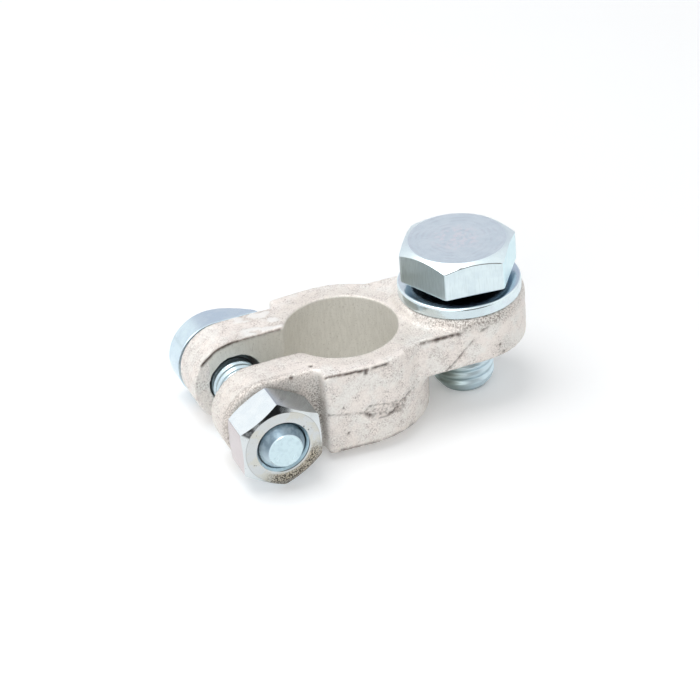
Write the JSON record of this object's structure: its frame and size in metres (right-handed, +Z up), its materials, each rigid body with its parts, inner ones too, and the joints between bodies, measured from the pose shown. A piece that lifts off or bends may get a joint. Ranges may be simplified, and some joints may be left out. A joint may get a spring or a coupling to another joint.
{
  "type": "battery terminal clamp",
  "caption": "Cast battery post clamp with a split ring, a pinch bolt with nut across its ears, and a hexagon terminal bolt with washer on a raised flag for the cable lug.",
  "frame": {"origin": "on the axis of the post bore, at the underside of the ring", "axes": "+Z up along the post bore, away from the battery; +X from the bore to the terminal bolt, so the two pinch ears lie along -X; -Y is the side of the pinch nut"},
  "size_m": [0.0554, 0.0342, 0.0266],
  "materials": {
    "casting": "rough as cast, tin plated",
    "zinc_plate": "bright blue-white zinc plate"
  },
  "bodies": {
    "clamp": {"clamp_body": "casting"},
    "washer": {"terminal_washer": "zinc_plate"},
    "terminal_bolt": {"terminal_bolt": "zinc_plate"},
    "pinch_bolt": {"pinch_bolt": "zinc_plate"},
    "pinch_nut": {"pinch_nut": "zinc_plate"}
  },
  "joints": [
    {"name": "terminal_turn", "type": "hinge", "parent": "clamp", "child": "washer", "pos_m": [0.02073, 0, 0.0157], "axis": [0, 0, 1], "range_deg": [-187, 3600]},
    {"name": "terminal_rise", "type": "slide", "parent": "washer", "child": "terminal_bolt", "axis": [0, 0, 1], "range_m": [-0.00078, 0.01501]},
    {"name": "nut_turn", "type": "hinge", "parent": "clamp", "child": "pinch_nut", "pos_m": [-0.0172, -0.0103, 0.00695], "axis": [0, -1, 0], "range_deg": [-116, 1801]},
    {"name": "pinch_slide", "type": "slide", "parent": "clamp", "child": "pinch_bolt", "axis": [0, 1, 0], "range_m": [-0.0004, 0.00625]}
  ],
  "couplings": [
    {"joint": "terminal_rise", "follows": "terminal_turn", "m_per_rad": 0.00023873},
    {"joint": "nut_turn", "follows": "pinch_slide", "rad_per_m": 5026.5}
  ]
}
